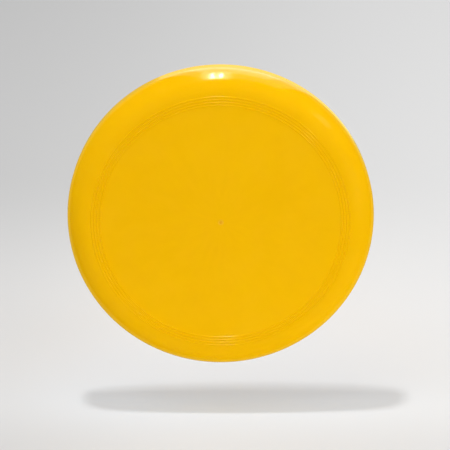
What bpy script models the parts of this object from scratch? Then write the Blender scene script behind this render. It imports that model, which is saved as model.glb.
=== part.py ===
"""A flying disc: one moulded plastic shell with a flat plate, a round shoulder and a deep rim.

The disc is a solid of revolution about +Z. It lies on its rim: the origin is the centre of the
rest plane, and the closed side is up. Its section is drawn once, as (radius, height) points,
and a Screw modifier turns it.
"""

import math

import bpy

MM = 0.001

# Driving dimensions
DISC_DIAMETER = 273 * MM
DISC_HEIGHT = 33.5 * MM  # from the rest plane to the crests of the ridges
PLATE_THICKNESS = 1.9 * MM
SHOULDER_RADIUS = 20 * MM
RIM_THICKNESS = 3.5 * MM  # at the widest level of the rim
LIP_THICKNESS = 3.8 * MM  # at the foot of the rim

# Grip ridges, which stand on the plate just inside the shoulder
RIDGE_COUNT = 4
RIDGE_FIRST_RADIUS = 107 * MM
RIDGE_PITCH = 2.5 * MM
RIDGE_WIDTH = 1.3 * MM
RIDGE_HEIGHT = 0.4 * MM

# Foot of the rim
RIM_DRAFT = 0.3 * MM  # how far the outer wall leans in from its widest level to the foot
LIP_OUTER_ROUND = 1.3 * MM
LIP_INNER_ROUND = 1.1 * MM

# Mark that the mould's gate leaves: a shallow dish with the cut-off sprue in it
GATE_DISH_RADIUS = 2.8 * MM
GATE_DISH_DEPTH = 0.35 * MM
GATE_DISH_SLOPE = 0.4 * MM
SPRUE_RADIUS = 0.8 * MM
SPRUE_HEIGHT = 0.2 * MM
SPRUE_SLOPE = 0.25 * MM

# Blank recess of the mould's centre insert, under the plate
INSERT_RADIUS = 16 * MM
INSERT_DEPTH = 0.25 * MM
INSERT_SLOPE = 0.25 * MM

# Fineness of the solid
TURN_STEPS = 72
RIDGE_STEPS = 4
SHOULDER_STEPS = 9
LIP_STEPS = 3
MERGE_DISTANCE = 0.01 * MM

DISC_YELLOW = (0.91, 0.5, 0.004, 1.0)

# Levels and radii worked out from the above
RIM_RADIUS = DISC_DIAMETER / 2
PLATE_TOP = DISC_HEIGHT - RIDGE_HEIGHT
PLATE_UNDER = PLATE_TOP - PLATE_THICKNESS
WIDEST_LEVEL = PLATE_TOP - SHOULDER_RADIUS
FOOT_RADIUS = RIM_RADIUS - RIM_DRAFT
LIP_INNER_RADIUS = FOOT_RADIUS - LIP_THICKNESS


def arc(centre, radius, start, end, steps):
    """Points on a circular arc of the section, from start to end in degrees, both ends included."""
    angles = (math.radians(start + (end - start) * step / steps) for step in range(steps + 1))
    return [
        (centre[0] + radius * math.cos(angle), centre[1] + radius * math.sin(angle))
        for angle in angles
    ]


def gate_mark():
    """The dish at the centre of the plate and the sprue stub in it, from the axis outwards."""
    floor = PLATE_TOP - GATE_DISH_DEPTH
    return [
        (0, floor + SPRUE_HEIGHT),
        (SPRUE_RADIUS, floor + SPRUE_HEIGHT),
        (SPRUE_RADIUS + SPRUE_SLOPE, floor),
        (GATE_DISH_RADIUS - GATE_DISH_SLOPE, floor),
        (GATE_DISH_RADIUS, PLATE_TOP),
    ]


def ridge(crest_radius):
    """One ridge: a low round bead whose two feet are on the plate."""
    half = RIDGE_WIDTH / 2
    bead_radius = (half**2 + RIDGE_HEIGHT**2) / (2 * RIDGE_HEIGHT)
    centre = (crest_radius, DISC_HEIGHT - bead_radius)
    spread = math.degrees(math.asin(half / bead_radius))
    return arc(centre, bead_radius, 90 + spread, 90 - spread, RIDGE_STEPS)


def lip():
    """The foot of the rim, from its outer wall round the flat land to its inner wall."""
    outer_centre = (FOOT_RADIUS - LIP_OUTER_ROUND, LIP_OUTER_ROUND)
    inner_centre = (LIP_INNER_RADIUS + LIP_INNER_ROUND, LIP_INNER_ROUND)
    return [
        *arc(outer_centre, LIP_OUTER_ROUND, 0, -90, LIP_STEPS),
        *arc(inner_centre, LIP_INNER_ROUND, -90, -180, LIP_STEPS),
    ]


def inner_shoulder():
    """The round between the rim's inner wall and the underside of the plate."""
    radius = PLATE_UNDER - WIDEST_LEVEL
    centre = (RIM_RADIUS - RIM_THICKNESS - radius, WIDEST_LEVEL)
    return arc(centre, radius, 0, 90, SHOULDER_STEPS)


def insert_recess():
    """The blank recess under the centre of the plate, from its edge to the axis."""
    ceiling = PLATE_UNDER + INSERT_DEPTH
    return [(INSERT_RADIUS, PLATE_UNDER), (INSERT_RADIUS - INSERT_SLOPE, ceiling), (0, ceiling)]


def section():
    """The whole section, from the axis over the top, down the rim and back to the axis underneath."""
    points = gate_mark()
    for index in range(RIDGE_COUNT):
        points += ridge(RIDGE_FIRST_RADIUS + index * RIDGE_PITCH)
    points += arc(
        (RIM_RADIUS - SHOULDER_RADIUS, WIDEST_LEVEL), SHOULDER_RADIUS, 90, 0, SHOULDER_STEPS
    )
    return points + lip() + inner_shoulder() + insert_recess()


def turned(name, points, material):
    """A new object: the section as a chain of edges, turned about Z into one closed solid."""
    mesh = bpy.data.meshes.new(name)
    vertices = [(radius, 0, height) for radius, height in points]
    edges = [(index, index + 1) for index in range(len(points) - 1)]
    mesh.from_pydata(vertices, edges, [])
    mesh.materials.append(material)
    turned_object = bpy.data.objects.new(name, mesh)
    bpy.context.scene.collection.objects.link(turned_object)
    screw = turned_object.modifiers.new("turn", "SCREW")
    screw.axis = "Z"
    screw.steps = TURN_STEPS
    screw.render_steps = TURN_STEPS
    screw.use_merge_vertices = True
    screw.merge_threshold = MERGE_DISTANCE
    screw.use_smooth_shade = True
    return turned_object


def glossy_plastic(name, colour):
    """Smooth moulded polyethylene."""
    material = bpy.data.materials.new(name)
    material.use_nodes = True
    shader = material.node_tree.nodes["Principled BSDF"]
    shader.inputs["Base Color"].default_value = colour
    shader.inputs["Roughness"].default_value = 0.25
    shader.inputs["Metallic"].default_value = 0
    return material


def clear_scene():
    for old_object in list(bpy.data.objects):
        bpy.data.objects.remove(old_object, do_unlink=True)


clear_scene()
turned("flying_disc", section(), glossy_plastic("yellow_polyethylene", DISC_YELLOW))
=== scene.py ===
"""The looks of the flying disc: a finely turned shell, its glossy yellow plastic, and a plain studio.

Everything is in metres, in the row frame. The origin is the centre of the plane that the rim rests
on, and +Z is the disc's spin axis. The studio has a frame of its own, in which the disc floats
almost upright over a pale floor: right, up and towards the viewer. studio_to_row turns it.
"""

import math

import bpy
import numpy as np
from mathutils import Matrix, Vector


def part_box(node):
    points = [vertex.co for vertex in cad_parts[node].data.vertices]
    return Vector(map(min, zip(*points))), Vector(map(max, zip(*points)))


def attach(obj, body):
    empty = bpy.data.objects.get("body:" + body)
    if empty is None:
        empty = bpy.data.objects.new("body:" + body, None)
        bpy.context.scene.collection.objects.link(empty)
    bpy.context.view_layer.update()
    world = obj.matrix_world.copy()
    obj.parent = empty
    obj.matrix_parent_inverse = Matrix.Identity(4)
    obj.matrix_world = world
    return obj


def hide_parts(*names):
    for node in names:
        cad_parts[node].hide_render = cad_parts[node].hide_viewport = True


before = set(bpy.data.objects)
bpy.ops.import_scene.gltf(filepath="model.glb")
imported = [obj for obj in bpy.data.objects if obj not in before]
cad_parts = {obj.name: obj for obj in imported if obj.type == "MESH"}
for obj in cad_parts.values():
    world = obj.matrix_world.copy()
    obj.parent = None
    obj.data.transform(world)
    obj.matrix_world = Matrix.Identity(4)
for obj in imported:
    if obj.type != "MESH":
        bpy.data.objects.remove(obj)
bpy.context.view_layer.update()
NODE = "flying_disc"
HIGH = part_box(NODE)[1]

MM = 0.001

# The disc's main lines: the first two from its CAD box, the rest as the CAD part has them
RIM_RADIUS = HIGH.x
DISC_HEIGHT = HIGH.z
RIDGE_HEIGHT = 0.4 * MM
PLATE_TOP = DISC_HEIGHT - RIDGE_HEIGHT
PLATE_THICKNESS = 1.9 * MM
PLATE_UNDER = PLATE_TOP - PLATE_THICKNESS
SHOULDER_RADIUS = 20 * MM
WIDEST_LEVEL = PLATE_TOP - SHOULDER_RADIUS
RIM_THICKNESS = 3.5 * MM
RIM_DRAFT = 0.3 * MM
FOOT_RADIUS = RIM_RADIUS - RIM_DRAFT
LIP_THICKNESS = 3.8 * MM
LIP_INNER_RADIUS = FOOT_RADIUS - LIP_THICKNESS
LIP_OUTER_ROUND = 1.3 * MM
LIP_INNER_ROUND = 1.1 * MM

# Grip ridges: a round crest with a small fillet at each foot, and flanks sloped in degrees
RIDGE_RADII = [(107 + 2.5 * index) * MM for index in range(4)]
RIDGE_CREST_ROUND = 0.7 * MM
FOOT_FILLET = 0.12 * MM
RIDGE_INNER_SLOPE = 56
RIDGE_OUTER_SLOPE = 42.5
LAST_RIDGE_OUTER_SLOPE = 43.5

# Line where the two halves of the mould meet, round the widest level
PARTING_WIDTH = 0.16 * MM
PARTING_HEIGHT = 0.05 * MM
PARTING_STEPS = 4

# Gate mark at the centre of the plate
GATE_DISH_RADIUS = 2.8 * MM
GATE_DISH_DEPTH = 0.35 * MM
SPRUE_RADIUS = 1.9 * MM
SPRUE_HEIGHT = 0.2 * MM
PIT_RADIUS = 1.1 * MM
PIT_DEPTH = 1.1 * MM

# Blank recess of the mould's centre insert, under the plate
INSERT_RADIUS = 16 * MM
INSERT_DEPTH = 0.25 * MM
INSERT_ROUND = 0.12 * MM

# Fineness of the shell
TURN_STEPS = 256
FILLET_STEPS = 4
CREST_STEPS = 10
SHOULDER_STEPS = 40
INNER_SHOULDER_STEPS = 32
LIP_STEPS = 8
SUPPORT_GAP = 0.12 * MM  # how close a supporting ring lies to a round, so that flats shade flat
LONG_STRETCH = 6 * SUPPORT_GAP

# The plastic
PALER_YELLOW = (0.915, 0.499, 0.0008, 1)
DEEPER_YELLOW = (0.885, 0.475, 0.0006, 1)
TORN_EDGE = 2.4 * MM  # the gate's torn surface starts to turn smooth here
SMOOTH_EDGE = 2.9 * MM

# The studio, and the camera in it
LEAN = math.radians(4.9)  # how far the disc's face leans back from the upright
CAMERA_PITCH = math.radians(21.5)  # how far the camera looks down
CAMERA_DISTANCE = 2.6455
CAMERA_LENS = 239.2
CAMERA_SENSOR = 36
CAMERA_SHIFT_RIGHT = 0.00385
CAMERA_SHIFT_DOWN = 0.0021

# The floor, a sheet under the floating disc
FLOOR_DROP = 0.181  # from the centre of the plate down to the floor
FLOOR_FRONT = 0.35
FLOOR_BACK = 2.0
FLOOR_HALF_WIDTH = 0.8

# The light
WORLD_RADIANCE = 0.745
WHITE = (1, 1, 1)
PALE_YELLOW = (1.0, 1.0, 0.5)
GOLDEN = (1.0, 0.85, 0.22)
STRIP_AZIMUTHS = (-4.0, 0.05)
SHADING_ONLY = {"glossy": False}
REFLECTION_ONLY = {"diffuse": False}


def arc(centre, radius, start, end, steps):
    """Points on a circular arc of the section, from start to end in degrees, both ends included."""
    angles = (math.radians(start + (end - start) * step / steps) for step in range(steps + 1))
    return [
        (centre[0] + radius * math.cos(angle), centre[1] + radius * math.sin(angle))
        for angle in angles
    ]


def ridge_reach(slope):
    """How far a ridge's foot lies from its crest, on the side that slopes this many degrees."""
    angle = math.radians(slope)
    both_rounds = RIDGE_CREST_ROUND + FOOT_FILLET
    drop = both_rounds * math.cos(angle) - (both_rounds - RIDGE_HEIGHT)
    return both_rounds * math.sin(angle) + max(drop, 0) / math.tan(angle)


def ridge(crest_radius, inner_slope, outer_slope):
    """One grip ridge: an inner foot fillet, the round crest and an outer foot fillet."""
    crest_centre = (crest_radius, DISC_HEIGHT - RIDGE_CREST_ROUND)
    inner_centre = (crest_radius - ridge_reach(inner_slope), PLATE_TOP + FOOT_FILLET)
    outer_centre = (crest_radius + ridge_reach(outer_slope), PLATE_TOP + FOOT_FILLET)
    return [
        *arc(inner_centre, FOOT_FILLET, -90, -90 + inner_slope, FILLET_STEPS),
        *arc(crest_centre, RIDGE_CREST_ROUND, 90 + inner_slope, 90 - outer_slope, CREST_STEPS),
        *arc(outer_centre, FOOT_FILLET, -90 - outer_slope, -90, FILLET_STEPS),
    ]


def gate_mark():
    """The shallow dish at the centre of the plate, and the torn sprue's ring and pit in it."""
    pit = PLATE_TOP - PIT_DEPTH
    moat = PLATE_TOP - GATE_DISH_DEPTH
    crest = moat + SPRUE_HEIGHT
    return [
        # The pit, from the axis up its wall
        (0, pit),
        (PIT_RADIUS - 0.25 * MM, pit + 0.02 * MM),
        (PIT_RADIUS - 0.08 * MM, pit + 0.12 * MM),
        (PIT_RADIUS + 0.05 * MM, crest - 0.10 * MM),
        # The torn ring, which is highest at its outer edge
        (SPRUE_RADIUS - 0.25 * MM, crest),
        (SPRUE_RADIUS, crest - 0.03 * MM),
        # The moat, and the dish's edge
        (SPRUE_RADIUS + 0.25 * MM, moat + 0.04 * MM),
        (SPRUE_RADIUS + 0.45 * MM, moat + 0.02 * MM),
        (GATE_DISH_RADIUS - 0.25 * MM, PLATE_TOP - 0.10 * MM),
        (GATE_DISH_RADIUS, PLATE_TOP - 0.02 * MM),
        (GATE_DISH_RADIUS + 0.15 * MM, PLATE_TOP),
    ]


def parting_line():
    """The fine raised witness of the mould's joint, on the outer wall, from top to bottom."""
    shares = [step / PARTING_STEPS for step in range(PARTING_STEPS + 1)]
    return [
        (RIM_RADIUS + PARTING_HEIGHT * math.sin(math.pi * share),
         WIDEST_LEVEL + PARTING_WIDTH * (0.5 - share))
        for share in shares
    ]


def outer_section():
    """From the axis over the plate, ridges and shoulder down to the foot."""
    points = gate_mark()
    for crest_radius in RIDGE_RADII[:-1]:
        points += ridge(crest_radius, RIDGE_INNER_SLOPE, RIDGE_OUTER_SLOPE)
    points += ridge(RIDGE_RADII[-1], RIDGE_INNER_SLOPE, LAST_RIDGE_OUTER_SLOPE)
    shoulder_centre = (RIM_RADIUS - SHOULDER_RADIUS, WIDEST_LEVEL)
    points += arc(shoulder_centre, SHOULDER_RADIUS, 90, 0.5, SHOULDER_STEPS)
    points += parting_line()
    foot_centre = (FOOT_RADIUS - LIP_OUTER_ROUND, LIP_OUTER_ROUND)
    return points + arc(foot_centre, LIP_OUTER_ROUND, 0, -90, LIP_STEPS)


def inner_section():
    """From the foot up the rim's inner wall and under the plate back to the axis."""
    lip_centre = (LIP_INNER_RADIUS + LIP_INNER_ROUND, LIP_INNER_ROUND)
    inner_radius = PLATE_UNDER - WIDEST_LEVEL
    shoulder_centre = (RIM_RADIUS - RIM_THICKNESS - inner_radius, WIDEST_LEVEL)
    ceiling = PLATE_UNDER + INSERT_DEPTH
    edge_centre = (INSERT_RADIUS, PLATE_UNDER + INSERT_ROUND)
    corner_centre = (INSERT_RADIUS - 2 * INSERT_ROUND, ceiling - INSERT_ROUND)
    return [
        *arc(lip_centre, LIP_INNER_ROUND, -90, -180, LIP_STEPS),
        *arc(shoulder_centre, inner_radius, 0, 90, INNER_SHOULDER_STEPS),
        *arc(edge_centre, INSERT_ROUND, -90, -170, FILLET_STEPS),
        *arc(corner_centre, INSERT_ROUND, 10, 90, FILLET_STEPS),
        (0, ceiling),
    ]


def supported(points):
    """The section with an extra point near each end of every long straight stretch."""
    result = [points[0]]
    for start, end in zip(points, points[1:]):
        run = (end[0] - start[0], end[1] - start[1])
        length = math.hypot(*run)
        if length > LONG_STRETCH:
            for share in (SUPPORT_GAP / length, 1 - SUPPORT_GAP / length):
                result.append((start[0] + run[0] * share, start[1] + run[1] * share))
        result.append(end)
    return result


def turned_mesh(name, points):
    """A closed mesh: the section, whose two ends lie on the axis, turned about Z."""
    rings = np.array(points[1:-1])
    angles = np.linspace(0, 2 * math.pi, TURN_STEPS, endpoint=False)
    x = rings[:, :1] * np.cos(angles)
    y = rings[:, :1] * np.sin(angles)
    z = np.repeat(rings[:, 1:], TURN_STEPS, axis=1)
    vertices = np.stack([x, y, z], axis=-1).reshape(-1, 3)
    top = len(vertices)
    bottom = top + 1
    poles = [(0, 0, points[0][1]), (0, 0, points[-1][1])]
    index = np.arange(len(rings) * TURN_STEPS).reshape(len(rings), TURN_STEPS)
    following = np.roll(index, -1, axis=1)
    walls = np.stack([index[:-1], index[1:], following[1:], following[:-1]], axis=-1)
    faces = walls.reshape(-1, 4).tolist()
    faces += [(top, a, b) for a, b in zip(index[0].tolist(), following[0].tolist())]
    faces += [(bottom, b, a) for a, b in zip(index[-1].tolist(), following[-1].tolist())]
    mesh = bpy.data.meshes.new(name)
    mesh.from_pydata(vertices.tolist() + poles, [], faces)
    mesh.validate()
    mesh.shade_smooth()
    return mesh


class Nodes:
    """A short way to write a material's nodes: each call adds a node and sets or links its inputs."""

    def __init__(self, tree):
        self.tree = tree

    def add(self, kind, inputs=None, **settings):
        node = self.tree.nodes.new(kind)
        for key, value in settings.items():
            setattr(node, key, value)
        for key, value in (inputs or {}).items():
            if isinstance(value, bpy.types.NodeSocket):
                self.tree.links.new(value, node.inputs[key])
            else:
                node.inputs[key].default_value = value
        return node

    def math(self, operation, *values):
        return self.add(
            "ShaderNodeMath", dict(enumerate(values)), operation=operation
        ).outputs[0]

    def place(self):
        """The point's place in the object's own coordinates, and its X and Y."""
        place = self.add("ShaderNodeTexCoord").outputs["Object"]
        parts = self.add("ShaderNodeSeparateXYZ", {"Vector": place}).outputs
        return place, parts["X"], parts["Y"]

    def noise(self, vector, scale, detail, roughness):
        return self.add(
            "ShaderNodeTexNoise",
            {"Vector": vector, "Scale": scale, "Detail": detail, "Roughness": roughness},
        ).outputs["Fac"]

    def ranged(self, value, low, high, to_low, to_high):
        """value eased from to_low, where it is low or less, to to_high, where it is high or more."""
        return self.add(
            "ShaderNodeMapRange",
            {0: value, 1: low, 2: high, 3: to_low, 4: to_high},
            interpolation_type="SMOOTHSTEP",
        ).outputs[0]

    def relief(self, height, strength, distance, below=None):
        """Bump, on top of the bump below it if there is one."""
        inputs = {"Strength": strength, "Distance": distance, "Height": height}
        if below is not None:
            inputs["Normal"] = below
        return self.add("ShaderNodeBump", inputs).outputs[0]

    def finish(self, shader):
        output = self.add("ShaderNodeOutputMaterial")
        self.tree.links.new(shader.outputs[0], output.inputs["Surface"])


def new_material(name):
    material = bpy.data.materials.new(name)
    material.use_nodes = True
    material.node_tree.nodes.clear()
    return material, Nodes(material.node_tree)


def yellow_plastic():
    """Glossy moulded polyethylene: even yellow, faint flow lines from the gate, fine scuffs."""
    material, nodes = new_material("yellow_polyethylene")
    place, x, y = nodes.place()
    radius = nodes.math(
        "SQRT", nodes.math("ADD", nodes.math("MULTIPLY", x, x), nodes.math("MULTIPLY", y, y))
    )

    # Flow lines: noise that is long along the radius and short round it
    outwards = nodes.add("ShaderNodeCombineXYZ", {"X": x, "Y": y}).outputs[0]
    direction = nodes.add("ShaderNodeVectorMath", {0: outwards}, operation="NORMALIZE").outputs[0]
    round_the_axis = nodes.add("ShaderNodeSeparateXYZ", {"Vector": direction}).outputs
    fan = nodes.add("ShaderNodeCombineXYZ", {
        "X": round_the_axis["X"],
        "Y": round_the_axis["Y"],
        "Z": nodes.math("MULTIPLY", radius, 9.0),
    }).outputs[0]
    flow = nodes.noise(fan, 7.0, 4.0, 0.55)
    cloud = nodes.noise(place, 14.0, 3.0, 0.5)
    tone = nodes.math("ADD", nodes.math("MULTIPLY", flow, 0.5), nodes.math("MULTIPLY", cloud, 0.5))
    # Inputs 6 and 7 and output 2 of a mix node are its two colours and the mixed one
    colour = nodes.add("ShaderNodeMix", {
        "Factor": nodes.ranged(tone, 0.3, 0.7, 0.0, 1.0),
        6: DEEPER_YELLOW,
        7: PALER_YELLOW,
    }, data_type="RGBA").outputs[2]

    # Roughness: unevenly polished, with sparse long scuffs, and dull where the sprue was torn off
    polish = nodes.ranged(nodes.noise(place, 55.0, 5.0, 0.6), 0.3, 0.7, 0.08, 0.13)
    stretched = nodes.add("ShaderNodeMapping", {
        "Vector": place,
        "Rotation": (0.3, 0.2, 0.7),
        "Scale": (260.0, 14.0, 40.0),
    }).outputs[0]
    scuffs = nodes.ranged(nodes.noise(stretched, 4.0, 3.0, 0.55), 0.66, 0.78, 0.0, 0.06)
    torn = nodes.ranged(radius, TORN_EDGE, SMOOTH_EDGE, 0.28, 0.0)
    roughness = nodes.math("ADD", nodes.math("ADD", polish, scuffs), torn)

    # Relief: a faint moulded unevenness, then a very fine grain
    waves = nodes.relief(nodes.noise(place, 160.0, 2.0, 0.5), 0.02, 0.4 * MM)
    grain = nodes.relief(nodes.noise(place, 1900.0, 2.0, 0.6), 0.01, 0.06 * MM, waves)

    nodes.finish(nodes.add("ShaderNodeBsdfPrincipled", {
        "Base Color": colour,
        "Roughness": roughness,
        "Normal": grain,
        "IOR": 1.51,
        "Specular Tint": (1.0, 0.96, 0.68, 1),
        "Subsurface Weight": 0.12,
        "Subsurface Radius": (1.0, 0.55, 0.06),
        "Subsurface Scale": 2.5 * MM,
    }))
    return material


def make_disc():
    """The shown disc, which stands for the CAD solid."""
    section = supported(outer_section() + inner_section())
    disc = bpy.data.objects.new("moulded_disc", turned_mesh("moulded_disc", section))
    bpy.context.scene.collection.objects.link(disc)
    disc.data.materials.append(yellow_plastic())
    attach(disc, "root")
    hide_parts(NODE)


# The studio's frame: its origin is the centre of the plate, its axes are right, up and towards
PLATE_CENTRE = Vector((0, 0, PLATE_TOP))
STUDIO_TURN = Matrix.Rotation(LEAN, 4, "X")


def studio_to_row(right, up, towards):
    return PLATE_CENTRE + STUDIO_TURN @ Vector((right, up, towards))


def make_camera():
    """The camera looks down at the disc a little, level with the studio's horizon."""
    data = bpy.data.cameras.new("camera")
    data.lens = CAMERA_LENS
    data.sensor_width = CAMERA_SENSOR
    data.clip_start = 0.05
    data.clip_end = 30
    camera = bpy.data.objects.new("camera", data)
    bpy.context.scene.collection.objects.link(camera)
    pitch = Matrix.Rotation(-CAMERA_PITCH, 4, "X")
    turn = STUDIO_TURN @ pitch
    offset = Vector((CAMERA_SHIFT_RIGHT, -CAMERA_SHIFT_DOWN, CAMERA_DISTANCE))
    camera.matrix_world = Matrix.Translation(PLATE_CENTRE + turn @ offset) @ turn
    bpy.context.scene.camera = camera


def floor_material():
    """Pale matt floor. It can't be seen from behind, and fades out far from the disc.

    Its own +X runs to the right and its +Y away from the viewer, from below the plate's centre.
    """
    material, nodes = new_material("pale_floor")
    place, x, y = nodes.place()

    # Painted shade: a little darker to the left, far behind, and at the front, where the studio's
    # light falls off
    near = nodes.ranged(x, -0.26, -0.01, 0.66, 0.775)
    far = nodes.ranged(x, -0.40, 0.40, 0.525, 0.735)
    depth = nodes.ranged(y, 0.22, 0.62, 0.0, 1.0)
    tone = nodes.math("ADD", near, nodes.math("MULTIPLY", depth, nodes.math("SUBTRACT", far, near)))
    tone = nodes.math("MULTIPLY", tone, nodes.ranged(y, -0.12, 0.02, 0.90, 1.0))

    # It throws a little more light on to the disc than its own tone would
    light_path = nodes.add("ShaderNodeLightPath").outputs
    bounce = nodes.math("ADD", 1.0, nodes.math("MULTIPLY", light_path["Is Diffuse Ray"], 0.2))
    tone = nodes.math("MULTIPLY", tone, bounce)

    # Bluer under the disc, which offsets the yellow light that the disc throws there
    under = nodes.add(
        "ShaderNodeVectorMath", {0: place, 1: (0.0, 0.05, 0.0)}, operation="DISTANCE"
    ).outputs["Value"]
    colour = nodes.add("ShaderNodeCombineColor", {
        channel: nodes.math("MULTIPLY", tone, nodes.ranged(under, 0.0, 0.22, share, 1.0))
        for channel, share in (("Red", 1.01), ("Green", 1.085), ("Blue", 1.18))
    }).outputs[0]

    # Clear to the camera from behind, and clear to everything near its edges
    back = nodes.add("ShaderNodeNewGeometry").outputs["Backfacing"]
    hidden = nodes.math("MULTIPLY", light_path["Is Camera Ray"], back)
    side = nodes.ranged(nodes.math("ABSOLUTE", x), 0.55, 0.78, 0.0, 1.0)
    behind = nodes.ranged(y, 1.5, 1.9, 0.0, 1.0)
    front = nodes.ranged(nodes.math("MULTIPLY", y, -1.0), 0.2, 0.34, 0.0, 1.0)
    faded = nodes.math("MAXIMUM", side, nodes.math("MAXIMUM", behind, front))
    nodes.finish(nodes.add("ShaderNodeMixShader", {
        0: nodes.math("MAXIMUM", hidden, faded),
        1: nodes.add("ShaderNodeBsdfDiffuse", {"Color": colour}).outputs[0],
        2: nodes.add("ShaderNodeBsdfTransparent").outputs[0],
    }))
    return material


def make_floor():
    """A flat sheet under the floating disc. Its own +Y runs away from the viewer."""
    corners = [
        (-FLOOR_HALF_WIDTH, -FLOOR_FRONT, 0),
        (FLOOR_HALF_WIDTH, -FLOOR_FRONT, 0),
        (FLOOR_HALF_WIDTH, FLOOR_BACK, 0),
        (-FLOOR_HALF_WIDTH, FLOOR_BACK, 0),
    ]
    mesh = bpy.data.meshes.new("floor")
    mesh.from_pydata(corners, [], [(0, 1, 2, 3)])
    floor = bpy.data.objects.new("floor", mesh)
    bpy.context.scene.collection.objects.link(floor)
    floor.data.materials.append(floor_material())
    lie = Matrix.Rotation(math.radians(-90), 4, "X")
    floor.matrix_world = Matrix.Translation(studio_to_row(0, -FLOOR_DROP, 0)) @ STUDIO_TURN @ lie
    floor.visible_glossy = False


def area_light(name, right, up, towards, size, radiance, tint=WHITE, **visibility):
    """A rectangular light that faces the plate's centre. radiance is what a mirror would show."""
    data = bpy.data.lights.new(name, "AREA")
    data.shape = "RECTANGLE"
    data.size, data.size_y = size
    data.energy = radiance * math.pi * size[0] * size[1]
    data.color = tint
    light = bpy.data.objects.new(name, data)
    bpy.context.scene.collection.objects.link(light)
    place = studio_to_row(right, up, towards)
    facing = (place - PLATE_CENTRE).to_track_quat("Z", "Y").to_matrix().to_4x4()
    light.matrix_world = Matrix.Translation(place) @ facing
    light.visible_camera = False
    for kind, seen in visibility.items():
        setattr(light, f"visible_{kind}", seen)


def light_at(name, azimuth, angle, distance, size, radiance, tint=WHITE, **visibility):
    """An area light placed by two angles in degrees: azimuth to the right, and angle up from the
    camera's axis over the top of the disc."""
    elevation = math.radians(angle) + CAMERA_PITCH
    side = math.radians(azimuth)
    right = distance * math.sin(side)
    up = distance * math.cos(side) * math.sin(elevation)
    towards = distance * math.cos(side) * math.cos(elevation)
    area_light(name, right, up, towards, size, radiance, tint, **visibility)


def make_world():
    """An even white surround: it lights matt surfaces, shows where the floor ends, and isn't seen
    in reflections."""
    world = bpy.data.worlds.new("studio")
    world.use_nodes = True
    background = world.node_tree.nodes["Background"]
    background.inputs["Color"].default_value = (*WHITE, 1)
    background.inputs["Strength"].default_value = WORLD_RADIANCE
    bpy.context.scene.world = world
    world.cycles_visibility.glossy = False


def make_shading_lights():
    """The lamp that casts the shadow, and two soft fills."""
    area_light("shadow_lamp", -0.32, 2.7, 0.0, size=(0.2, 0.2), radiance=175.0, **SHADING_ONLY)
    area_light("top_fill", -0.5, 2.2, 0.5, size=(1.6, 1.0), radiance=1.35, **SHADING_ONLY)
    area_light("front_fill", 1.9, 0.2, 1.9, size=(1.6, 1.6), radiance=2.65, **SHADING_ONLY)


def make_reflected_lights():
    """What the gloss shows, each placed by azimuth, angle and distance."""
    # The sheen on the upper shoulder
    light_at("softbox_wide", 8, 104, 1.5, size=(1.35, 2.9), radiance=0.75, **REFLECTION_ONLY)
    light_at("softbox_core", 6, 112, 1.4, size=(0.75, 1.3), radiance=1.35, **REFLECTION_ONLY)
    light_at("softbox_glow", -2.2, 74, 1.3, size=(0.32, 1.1), radiance=2.8, **REFLECTION_ONLY)

    # The bright outermost edge, which mirrors what is behind the disc
    light_at("backdrop_top", 6, 155, 1.6, (1.4, 0.5), 0.6, PALE_YELLOW, **REFLECTION_ONLY)
    light_at("backdrop", 0, 180, 2.0, (6.0, 6.0), 0.55, GOLDEN, **REFLECTION_ONLY)

    # The faint streak on the right of the shoulder
    light_at("side_card", 50, 37, 2.0, size=(0.3, 0.9), radiance=0.6, **REFLECTION_ONLY)

    # Two strips make the two lobes of the highlight
    for index, azimuth in enumerate(STRIP_AZIMUTHS):
        light_at(f"strip_{index}", azimuth, 70, 1.2, (0.031, 0.62), 54.0, **REFLECTION_ONLY)


bpy.context.scene.view_settings.view_transform = "Standard"
make_camera()
make_disc()
make_floor()
make_world()
make_shading_lights()
make_reflected_lights()
